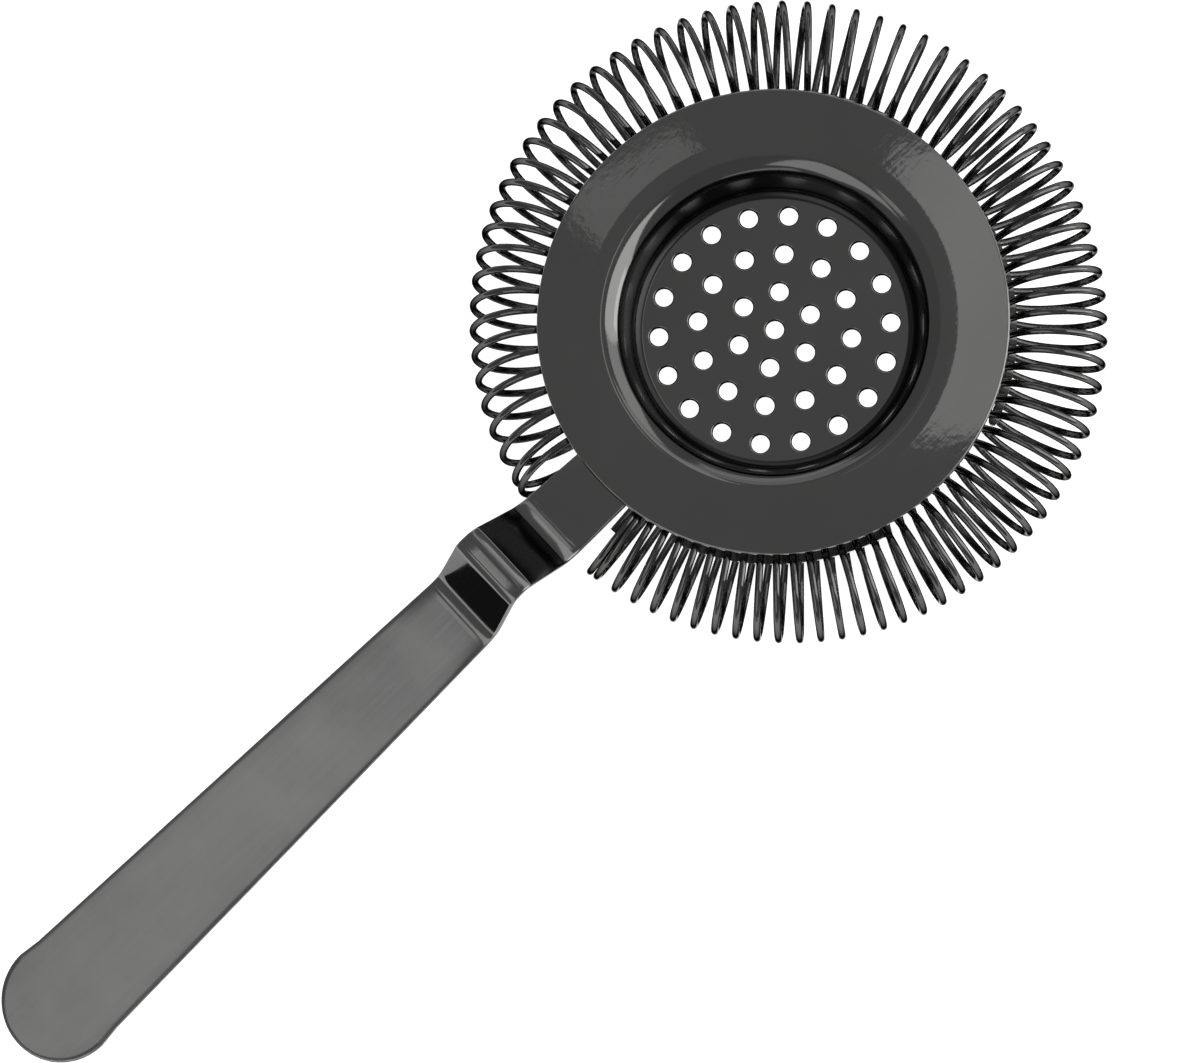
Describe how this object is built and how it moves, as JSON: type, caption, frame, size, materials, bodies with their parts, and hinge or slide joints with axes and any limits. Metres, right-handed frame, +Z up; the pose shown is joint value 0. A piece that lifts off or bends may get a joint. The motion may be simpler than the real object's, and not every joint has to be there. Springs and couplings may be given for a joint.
{
  "type": "hawthorne strainer",
  "caption": "Bar strainer: a pierced dished disc with a long bent strip handle and an open coil spring held round its rim by claws.",
  "frame": {"origin": "centre of the flat flange, on its top face", "axes": "+X along the handle, +Z up out of the dish, +Y to the left of the handle seen from the plate"},
  "size_m": [0.2061, 0.098, 0.0268],
  "materials": {
    "gunmetal_plate": "mirror-satin black coating on stainless sheet",
    "gunmetal_handle": "satin black coating on stainless strip",
    "gunmetal_wire": "bright black coating on spring wire",
    "gunmetal_claw": "black coating on stainless sheet"
  },
  "bodies": {
    "root": {"strainer_plate": "gunmetal_plate", "handle": "gunmetal_handle", "claw_back_left": "gunmetal_claw", "claw_back_right": "gunmetal_claw", "claw_front_left": "gunmetal_claw", "claw_front_right": "gunmetal_claw"},
    "spring_front": {"coil_spring": "gunmetal_wire"}
  },
  "joints": [
    {"name": "spring_squeeze", "type": "slide", "parent": "root", "child": "spring_front", "axis": [1, 0, 0], "range_m": [0, 0.003], "stiffness_N_per_m": 1200, "deforming": ["coil_spring"]}
  ]
}
